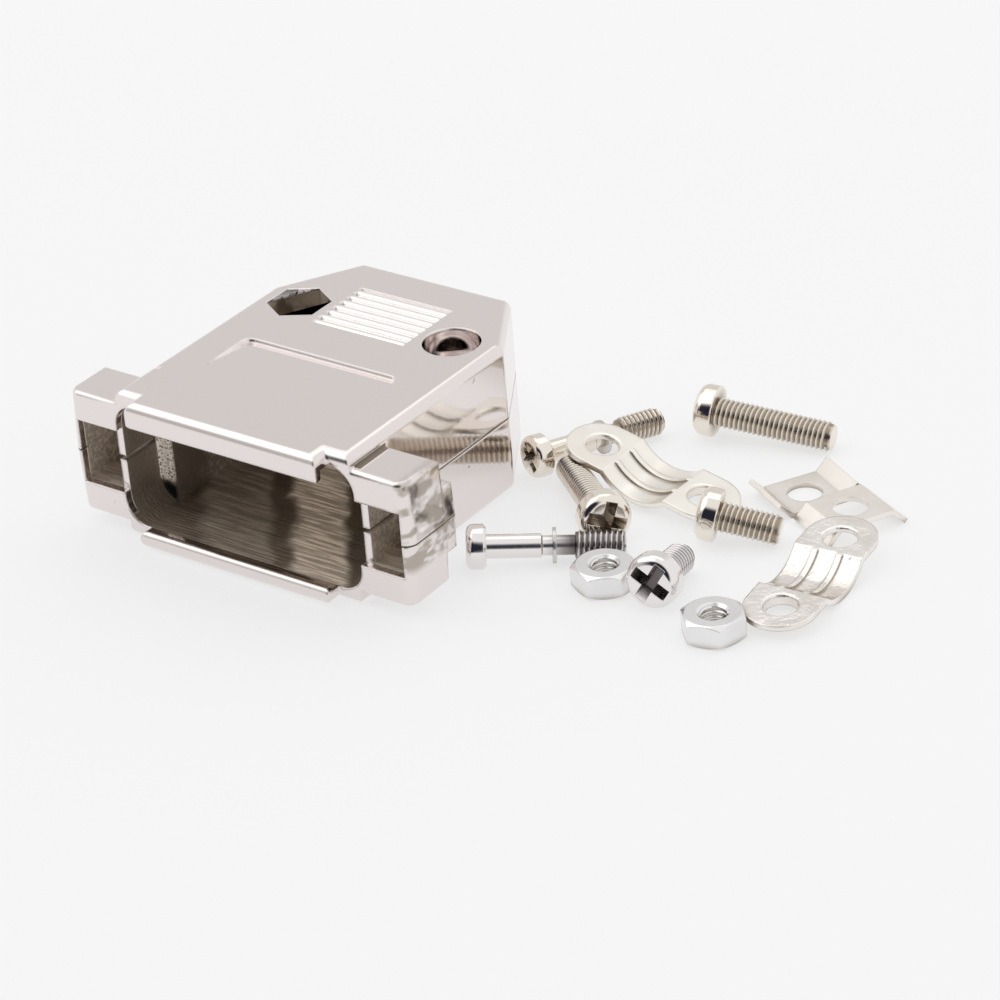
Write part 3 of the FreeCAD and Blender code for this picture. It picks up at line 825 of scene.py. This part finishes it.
def arc(centre: Point, radius: float, start: float, end: float, steps: int) -> list[Point]:
    """Points on an arc.

    Args:
        centre: the arc's centre.
        radius: its radius.
        start: its first angle in degrees.
        end: its last angle in degrees.
        steps: how many stretches it has.

    Returns:
        The points, both ends included.
    """
    points = []
    for step in range(steps + 1):
        angle = math.radians(start + (end - start) * step / steps)
        points.append((centre[0] + radius * math.cos(angle), centre[1] + radius * math.sin(angle)))
    return points


def mesh_of(work: bmesh.types.BMesh, name: str) -> bpy.types.Mesh:
    """Turn a bmesh into a mesh and free it.

    Args:
        work: the bmesh.
        name: the mesh's name.

    Returns:
        The mesh.
    """
    mesh = bpy.data.meshes.new(name)
    work.to_mesh(mesh)
    work.free()
    return mesh


def cut(target: bpy.types.Object, cutter: bpy.types.Object) -> None:
    """Subtract one closed mesh from another.

    Args:
        target: the piece that is cut.
        cutter: the piece that is taken away, and removed.
    """
    made = target.modifiers.new("cut", "BOOLEAN")
    made.operation = "DIFFERENCE"
    made.solver = "EXACT"
    made.object = cutter
    applied(target)
    bpy.data.objects.remove(cutter)


def joined(target: bpy.types.Object, extra: bpy.types.Object, matrix: Matrix) -> None:
    """Add a piece's mesh to another's.

    Args:
        target: the piece that stays.
        extra: the piece that is added, and removed.
        matrix: moves the extra piece first.
    """
    extra.data.transform(matrix)
    work = bmesh.new()
    work.from_mesh(target.data)
    work.from_mesh(extra.data)
    work.to_mesh(target.data)
    work.free()
    bpy.data.objects.remove(extra)


# Pieces on the root


def clothe(piece: bpy.types.Object, finish: bpy.types.Material) -> None:
    """Give a piece one finish and, where its mesh has no normals of its own, smooth faces.

    Args:
        piece: the piece.
        finish: its material.
    """
    piece.data.materials.clear()
    piece.data.materials.append(finish)
    for face in piece.data.polygons:
        face.material_index = 0
    if not piece.data.has_custom_normals:
        smooth(piece.data)


def added(piece: bpy.types.Object, finish: bpy.types.Material) -> None:
    """Finish a piece and let it ride on the root.

    Args:
        piece: the finished mesh.
        finish: its material.
    """
    clothe(piece, finish)
    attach(piece, "root")
    log.info("%s rides on the root with %d faces", piece.name, len(piece.data.polygons))


def handed_in(piece: bpy.types.Object, node: str, finish: bpy.types.Material) -> None:
    """Finish a piece, let it ride on the root and let it stand for its node.

    Args:
        piece: the finished mesh.
        node: the CAD node that it stands for.
        finish: its material.
    """
    added(piece, finish)
    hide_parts(node)
    log.info("%s stands for %s", piece.name, node)


def dressed(node: str, finish: bpy.types.Material) -> None:
    """Give a CAD node's mesh its finish.

    Args:
        node: the CAD node.
        finish: its material.
    """
    mesh = frame["nodes"][node].data
    for slot in range(len(mesh.materials)):
        mesh.materials[slot] = finish
    if len(mesh.materials) == 0:
        mesh.materials.append(finish)
    log.info("%s dressed with %s", node, finish.name)


# Hood


@dataclass
class Shells:
    """The two cast halves, their sharp edges softened."""

    nodes: tuple[str, str] = ("lower_shell", "upper_shell")
    finish: CastingFinish = field(default_factory=CastingFinish)
    softness: float = mm(0.12)
    segments: int = 2
    sharp_angle: float = 35.0

    def build(self) -> None:
        """Soften both halves and let them stand for their nodes."""
        material = self.finish.material()
        for node in self.nodes:
            piece = cad_copy(node, node + "_cast")
            self.soften(piece)
            handed_in(piece, node, material)

    def soften(self, piece: bpy.types.Object) -> None:
        """Round the sharp edges a little and keep the flat faces flat.

        Args:
            piece: a half, which ends as a plain mesh.
        """
        bevel = piece.modifiers.new("soft_edges", "BEVEL")
        bevel.width = self.softness
        bevel.segments = self.segments
        bevel.limit_method = "ANGLE"
        bevel.angle_limit = math.radians(self.sharp_angle)
        bevel.miter_outer = "MITER_ARC"
        smooth(piece.data, 180.0)
        weights = piece.modifiers.new("flat_faces", "WEIGHTED_NORMAL")
        weights.mode = "FACE_AREA"
        weights.weight = 100
        weights.keep_sharp = True
        applied(piece)


# Threads


@dataclass(frozen=True)
class Thread:
    """A thread's sizes: its outer radius, its depth, its pitch and its length."""

    radius: float
    depth: float
    pitch: float
    length: float


class ThreadTree:
    """Geometry Nodes that wind a ridge round a core, drawn along Z."""

    def __init__(self) -> None:
        """Build the tree once for all threads."""
        tree = bpy.data.node_groups.new("thread_winding", "GeometryNodeTree")
        self.tree = tree
        tree.interface.new_socket("Geometry", in_out="INPUT", socket_type="NodeSocketGeometry")
        self.ids = {}
        for name in ("Radius", "Depth", "Pitch", "Length"):
            made = tree.interface.new_socket(name, in_out="INPUT", socket_type="NodeSocketFloat")
            self.ids[name] = made.identifier
        made = tree.interface.new_socket("Finish", in_out="INPUT", socket_type="NodeSocketMaterial")
        self.ids["Finish"] = made.identifier
        tree.interface.new_socket("Geometry", in_out="OUTPUT", socket_type="NodeSocketGeometry")
        self.link(Shade(tree))

    @staticmethod
    def link(shade: Shade) -> None:
        """Sweep a small square along a spiral that lies one depth inside the outer radius.

        Args:
            shade: the tree under construction.
        """
        given = shade.node("NodeGroupInput")
        depth = shade.out(given, "Depth")
        length = shade.out(given, "Length")
        turns = length / shade.out(given, "Pitch")
        middle = shade.out(given, "Radius") - depth
        spiral_sizes = {"Resolution": 28, "Rotations": turns, "Height": length}
        spiral_sizes |= {"Start Radius": middle, "End Radius": middle}
        spiral = shade.node("GeometryNodeCurveSpiral", None, spiral_sizes)
        upright = shade.node("GeometryNodeSetCurveNormal", {"mode": "Z_UP"}, {"Curve": shade.out(spiral)})
        section_sizes = {"Resolution": 4, "Radius": depth}
        section = shade.node("GeometryNodeCurvePrimitiveCircle", {"mode": "RADIUS"}, section_sizes)
        sweep = {"Curve": shade.out(upright), "Profile Curve": shade.out(section), "Fill Caps": True}
        wound = shade.node("GeometryNodeCurveToMesh", None, sweep)
        real = shade.node("GeometryNodeRealizeInstances", None, {"Geometry": shade.out(wound)})
        dress = {"Geometry": shade.out(real), "Material": shade.out(given, "Finish")}
        finished = shade.node("GeometryNodeSetMaterial", None, dress)
        shade.node("NodeGroupOutput", None, {"Geometry": shade.out(finished)})

    def wind(self, name: str, thread: Thread, finish: bpy.types.Material) -> bpy.types.Object:
        """Wind one thread.

        Args:
            name: the thread's name.
            thread: its sizes.
            finish: its material.

        Returns:
            A plain mesh along Z from 0 to the thread's length.
        """
        piece = new_object(name, bpy.data.meshes.new(name))
        made = piece.modifiers.new("thread", "NODES")
        made.node_group = self.tree
        made[self.ids["Radius"]] = thread.radius
        made[self.ids["Depth"]] = thread.depth
        made[self.ids["Pitch"]] = thread.pitch
        made[self.ids["Length"]] = thread.length
        made[self.ids["Finish"]] = finish
        return applied(piece)


# Screws, jackscrews and nuts


@dataclass(frozen=True)
class CrossRecess:
    """A tapered cross that is sunk into a head whose face is at X 0."""

    span: float
    width: float
    sink: float
    top_reach: float = 0.7
    top_arm: float = 0.62
    floor_reach: float = 0.26
    floor_arm: float = 0.38

    def cut_into(self, piece: bpy.types.Object) -> None:
        """Sink the two arms of the cross.

        Args:
            piece: the turned screw.
        """
        for turn in (0.0, QUARTER_TURN):
            cutter = mesh_of(self.arm(Matrix.Rotation(turn, 4, "X")), "recess_cutter")
            cut(piece, new_object("recess_cutter", cutter))

    def arm(self, turned: Matrix) -> bmesh.types.BMesh:
        """Draw one arm, from as far outside the face as it is deep.

        Args:
            turned: turns the arm about X.

        Returns:
            A closed, tapered block.
        """
        work = bmesh.new()
        top = (-self.sink, self.span * self.top_reach, self.width * self.top_arm)
        floor = (self.sink, self.span * self.floor_reach, self.width * self.floor_arm)
        corners = []
        for along, reach, half in (top, floor):
            for side, up in ((-1, -1), (1, -1), (1, 1), (-1, 1)):
                corners.append(work.verts.new(turned @ Vector((along, side * reach, up * half))))
        work.faces.new(corners[0:4])
        work.faces.new(corners[4:8])
        for step in range(4):
            after = (step + 1) % 4
            work.faces.new([corners[step], corners[after], corners[4 + after], corners[4 + step]])
        bmesh.ops.recalc_face_normals(work, faces=work.faces)
        return work


@dataclass
class Screw:
    """A pan head screw with a cross recess and a full thread.

    It is drawn along X from its head's face, then rolled and laid on its head's rim and on its tip. The
    place x, y is the middle of its head's face, and the angles are in degrees.
    """

    node: str
    x: float
    y: float
    turn: float
    roll: float
    thread_length: float
    head_radius: float = mm(2.6)
    head_height: float = mm(2.0)
    dome: float = mm(0.9)
    dome_steps: int = 8
    under_edge: float = mm(0.1)
    thread_radius: float = mm(1.5)
    depth: float = mm(0.2)
    pitch: float = mm(0.5)
    bevel: float = mm(0.3)
    tip_share: float = 0.4
    run_in: float = 0.0
    run_out: float = mm(0.1)
    recess: CrossRecess = CrossRecess(mm(4.1), mm(1.15), mm(1.4))
    recess_reach: float = 1.3
    face_skin: float = mm(0.3)
    steps: int = 64

    def core_start(self) -> float:
        """Where the threaded core begins."""
        return self.head_height

    def end(self) -> float:
        """Where the screw ends."""
        return self.core_start() + self.thread_length

    def core(self) -> float:
        """The radius of the core under the thread."""
        return self.thread_radius - self.depth

    def shank_section(self) -> list[Point]:
        """The section from the head to the start of the core."""
        return [(self.head_height, self.core())]

    def section(self) -> list[Point]:
        """Draw half of the screw's section.

        Returns:
            Points (along, radius) from the face to the tip.
        """
        rim = self.head_radius
        core = self.core()
        end = self.end()
        points = [(0.0, 0.0)]
        points += arc((self.dome, rim - self.dome), self.dome, 180.0, 90.0, self.dome_steps)
        points += [(self.head_height - self.under_edge, rim), (self.head_height, rim - self.under_edge)]
        points += self.shank_section()
        points += [(end - self.bevel, core), (end, core - self.bevel * self.tip_share), (end, 0.0)]
        return points

    def build(self, threads: ThreadTree, finish: bpy.types.Material) -> None:
        """Turn the screw, sink the recess, wind the thread and lay it down.

        Args:
            threads: winds the thread.
            finish: the screw's material.
        """
        piece = new_object(self.node + "_turned", mesh_of(lathe(self.section(), self.steps), self.node))
        self.recess.cut_into(piece)
        run = self.thread_length - self.bevel - self.run_in - self.run_out
        thread = Thread(self.thread_radius, self.depth, self.pitch, run)
        ridge = threads.wind(self.node + "_thread", thread, finish)
        start = Matrix.Translation((self.core_start() + self.run_in, 0, 0))
        joined(piece, ridge, start @ Matrix.Rotation(QUARTER_TURN, 4, "Y"))
        self.mark_grooves(piece)
        piece.data.transform(self.rest())
        handed_in(piece, self.node, finish)

    def mark_grooves(self, piece: bpy.types.Object) -> None:
        """Store how deep each point lies in the thread's groove or in the recess, from 0 to 1, which sets
        the painted shade.

        Args:
            piece: the screw before it is laid down.
        """
        marks = piece.data.attributes.new("groove", "FLOAT", "POINT")
        last = self.end() - self.bevel * self.tip_share
        floor = self.recess.sink + mm(0.1)
        for vertex, mark in zip(piece.data.vertices, marks.data):
            along = vertex.co.x
            out = math.hypot(vertex.co.y, vertex.co.z)
            if self.core_start() <= along <= last:
                mark.value = min(max((self.thread_radius - out) / self.depth, 0.0), 1.0)
            elif self.face_skin < along < floor and out < self.thread_radius * self.recess_reach:
                mark.value = 1.0

    def rest(self) -> Matrix:
        """Find how the screw lies on the table.

        Returns:
            The matrix from the drawn screw to the lying one.
        """
        drop = self.head_radius - self.thread_radius
        tilt = math.atan2(drop, self.end() - self.bevel - self.head_height)
        height = self.head_height * math.sin(tilt) + self.head_radius * math.cos(tilt)
        spot = Matrix.Translation((self.x, self.y, height))
        turned = spot @ Matrix.Rotation(math.radians(self.turn), 4, "Z") @ Matrix.Rotation(tilt, 4, "Y")
        return turned @ Matrix.Rotation(math.radians(self.roll), 4, "X")


@dataclass
class JackScrew(Screw):
    """A jackscrew, with a smooth shank and a thinner neck between its head and its threaded stud."""

    thread_length: float = mm(4.8)
    head_radius: float = mm(2.15)
    head_height: float = mm(1.9)
    dome: float = mm(0.7)
    under_edge: float = mm(0.25)
    thread_radius: float = mm(1.42)
    depth: float = mm(0.19)
    run_in: float = mm(0.2)
    run_out: float = 0.0
    recess: CrossRecess = CrossRecess(mm(3.2), mm(0.85), mm(1.1))
    shank_radius: float = mm(1.15)
    shank: float = mm(5.3)
    shank_edge: float = mm(0.15)
    neck_radius: float = mm(0.95)
    neck: float = mm(3.0)
    stud_edge: float = mm(0.1)

    def core_start(self) -> float:
        """Where the neck ends and the stud begins."""
        return self.head_height + self.shank + self.neck

    def shank_section(self) -> list[Point]:
        """Draw the shank and the neck.

        Returns:
            Points (along, radius) from under the head to the start of the core.
        """
        shank_end = self.head_height + self.shank
        neck_end = self.core_start()
        points = [(self.head_height, self.shank_radius), (shank_end - self.shank_edge, self.shank_radius)]
        points += [(shank_end, self.neck_radius), (neck_end, self.neck_radius)]
        points += [(neck_end + self.stud_edge, self.core())]
        return points


@dataclass
class Nut:
    """A hexagon nut whose bore carries a thread."""

    node: str
    x: float
    y: float
    turn: float
    bore: float = mm(1.25)
    depth: float = mm(0.16)
    pitch: float = mm(0.5)
    thick: float = mm(2.4)
    bevel: float = mm(0.3)

    def build(self, threads: ThreadTree, finish: bpy.types.Material) -> None:
        """Dress the nut and wind the thread in its bore.

        Args:
            threads: winds the thread.
            finish: the nut's material.
        """
        dressed(self.node, finish)
        sizes = Thread(self.bore + self.depth, self.depth, self.pitch, self.thick - self.bevel * 2)
        thread = threads.wind(self.node + "_thread", sizes, finish)
        spot = Matrix.Translation((self.x, self.y, self.bevel))
        thread.data.transform(spot @ Matrix.Rotation(math.radians(self.turn), 4, "Z"))
        added(thread, finish)


# Camera, table and light


@dataclass(frozen=True)
class PhotoCamera:
    """The camera of the photograph, with its angles in degrees."""

    azimuth: float = 37.47
    elevation: float = 29.74
    roll: float = -4.71
    place: tuple[float, float, float] = (0.207448, -0.230372, 0.181892)
    sensor: float = 36.0
    focal_share: float = 3.79637

    def build(self) -> None:
        """Add the camera and make it the scene's."""
        data = bpy.data.cameras.new("camera")
        data.sensor_width = self.sensor
        data.lens = self.sensor * self.focal_share
        data.clip_start = 0.01
        data.clip_end = 10.0
        camera = bpy.data.objects.new("camera", data)
        camera.matrix_world = self.matrix()
        bpy.context.scene.collection.objects.link(camera)
        bpy.context.scene.camera = camera

    def matrix(self) -> Matrix:
        """Work out the camera's place and turn.

        Returns:
            The matrix whose columns are the camera's right, up, back and place.
        """
        turn, lift, roll = (math.radians(value) for value in (self.azimuth, self.elevation, self.roll))
        back = Vector((math.sin(turn) * math.cos(lift), -math.cos(turn) * math.cos(lift), math.sin(lift)))
        right = Vector((math.cos(turn), math.sin(turn), 0.0))
        down = (-back).cross(right)
        rolled_right = right * math.cos(roll) - down * math.sin(roll)
        rolled_down = right * math.sin(roll) + down * math.cos(roll)
        matrix = Matrix.Identity(4)
        for row in range(3):
            matrix[row][0] = rolled_right[row]
            matrix[row][1] = -rolled_down[row]
            matrix[row][2] = back[row]
            matrix[row][3] = self.place[row]
        return matrix


@dataclass(frozen=True)
class SkyPatch:
    """A soft round patch of the sky: its direction, its inner and outer angle and its tone."""

    towards: tuple[float, float, float]
    inner: float
    outer: float
    tone: Colour

    def over(self, shade: Shade, facing: Sock, under: Sock | Colour) -> Sock:
        """Lay the patch over the sky.

        Args:
            shade: the world's tree.
            facing: the direction that is looked in.
            under: the sky's colour without the patch.

        Returns:
            The sky's colour with the patch.
        """
        middle = tuple(Vector(self.towards).normalized())
        near = shade.node("ShaderNodeVectorMath", {"operation": "DOT_PRODUCT"}, {0: facing, 1: middle})
        low, high = (math.cos(math.radians(angle)) for angle in (self.outer, self.inner))
        return shade.mix_colour(shade.step(shade.out(near, "Value"), low, high), under, self.tone)


class Sky(Enum):
    """The patches that the polished faces show, in the order in which they are laid."""

    BEHIND = SkyPatch((-0.528, 0.689, 0.496), 22.0, 42.0, colour(0.76, 0.755, 0.75))
    OVERHEAD = SkyPatch((-0.528, -0.3, 0.79), 25.0, 32.0, grey(1.45))
    LEFT_FRONT = SkyPatch((-0.528, -0.82, 0.2), 12.0, 26.0, colour(0.55, 0.54, 0.53))
    ROOM = SkyPatch((0.2, -0.88, 0.4), 22.0, 40.0, colour(0.02, 0.02, 0.035))


@dataclass(frozen=True)
class Studio:
    """A white table under a white sky with a few grey patches, one bright and one dark."""

    floor_size: float = 4.0
    floor_albedo: float = 0.285
    floor_cloud: Grain = Grain(40.0, 2.0)
    floor_mottle: float = 0.985
    floor_glow: float = 0.655
    backdrop: float = 0.925
    sky_tone: float = 0.93
    lamp_place: tuple[float, float, float] = (-0.1, 0.3, 0.6)
    lamp_aim: tuple[float, float, float] = (0.015, 0.02, 0.0)
    lamp_size: Point = (0.5, 0.4)
    lamp_watts: float = 0.3

    def build(self) -> None:
        """Add the floor, the sky and the lamp."""
        self.floor()
        self.sky()
        self.lamp()

    def floor(self) -> None:
        """Add a flat white table that glows a little, so that shadows stay faint."""
        half = self.floor_size / 2
        work = bmesh.new()
        corners = ((-half, -half), (half, -half), (half, half), (-half, half))
        work.faces.new([work.verts.new((x, y, 0.0)) for x, y in corners])
        floor = new_object("table", mesh_of(work, "table"))
        made, shade = new_finish("white_table")
        mottle = shade.noise(shade.place(), self.floor_cloud)
        darker = grey(self.floor_albedo * self.floor_mottle)
        shade.surface(
            {
                "Base Color": shade.mix_colour(mottle, grey(self.floor_albedo), darker),
                "Roughness": 0.8,
                "Specular IOR Level": 0.05,
                "Emission Color": grey(1.0),
                "Emission Strength": self.floor_glow,
            }
        )
        floor.data.materials.append(made)

    def sky(self) -> None:
        """Add the sky, with an even white backdrop for what the camera sees itself."""
        world = bpy.data.worlds.new("studio")
        bpy.context.scene.world = world
        world.use_nodes = True
        shade = Shade(world.node_tree)
        facing = shade.out(shade.node("ShaderNodeTexCoord"), "Generated")
        tone = grey(self.sky_tone)
        for patch in Sky:
            tone = patch.value.over(shade, facing, tone)
        seen = shade.out(shade.node("ShaderNodeLightPath"), "Is Camera Ray")
        tone = shade.mix_colour(seen, tone, grey(self.backdrop))
        surface = shade.node("ShaderNodeBackground", None, {"Color": tone, "Strength": 1.0})
        shade.node("ShaderNodeOutputWorld", None, {"Surface": shade.out(surface)})

    def lamp(self) -> None:
        """Add one wide soft lamp above and behind on the left."""
        data = bpy.data.lights.new("soft_lamp", "AREA")
        data.shape = "RECTANGLE"
        data.size, data.size_y = self.lamp_size
        data.energy = self.lamp_watts
        lamp = bpy.data.objects.new("soft_lamp", data)
        lamp.location = self.lamp_place
        aim = Vector(self.lamp_aim) - Vector(self.lamp_place)
        lamp.rotation_euler = aim.to_track_quat("-Z", "Y").to_euler()
        bpy.context.scene.collection.objects.link(lamp)


def main() -> None:
    """Build the hood and its loose hardware."""
    logging.basicConfig(level=logging.INFO)
    bpy.context.scene.view_settings.view_transform = "Standard"
    PhotoCamera().build()
    Studio().build()
    Shells().build()
    threads = ThreadTree()
    warm = PlatedScrew.WARM.value.material()
    cool = PlatedScrew.COOL.value.material()
    Screw("long_screw_far", mm(23.64), mm(42.78), 12.0, 0.0, mm(12.0)).build(threads, warm)
    Screw("long_screw_near", mm(28.04), mm(19.90), 139.5, 20.0, mm(12.0)).build(threads, warm)
    Screw("short_screw_rear", mm(34.74), mm(25.35), 20.0, 10.0, mm(6.0)).build(threads, warm)
    Screw("short_screw_front", mm(37.83), mm(12.15), 100.4, 30.0, mm(6.0)).build(threads, cool)
    JackScrew("jackscrew_front", mm(18.38), mm(10.44), 36.1, 15.0).build(threads, cool)
    JackScrew("jackscrew_rear", mm(13.96), mm(27.19), 65.6, 40.0).build(threads, warm)
    ring = LooseFinish.RING.value.material()
    dressed("jack_ring_front", ring)
    dressed("jack_ring_rear", ring)
    nut = LooseFinish.NUT.value.material()
    Nut("hex_nut_left", mm(31.55), mm(14.0), 4.7).build(threads, nut)
    Nut("hex_nut_right", mm(45.0), mm(11.6), -17.4).build(threads, nut)
    dressed("clamp_saddle_rear", LooseFinish.STRAP.value.material())
    dressed("clamp_saddle_front", LooseFinish.WORN_STRAP.value.material())
    plate = LooseFinish.PLATE.value.material()
    dressed("retainer_plate_upright", plate)
    dressed("retainer_plate_turned", plate)


if __name__ == "__main__":
    main()
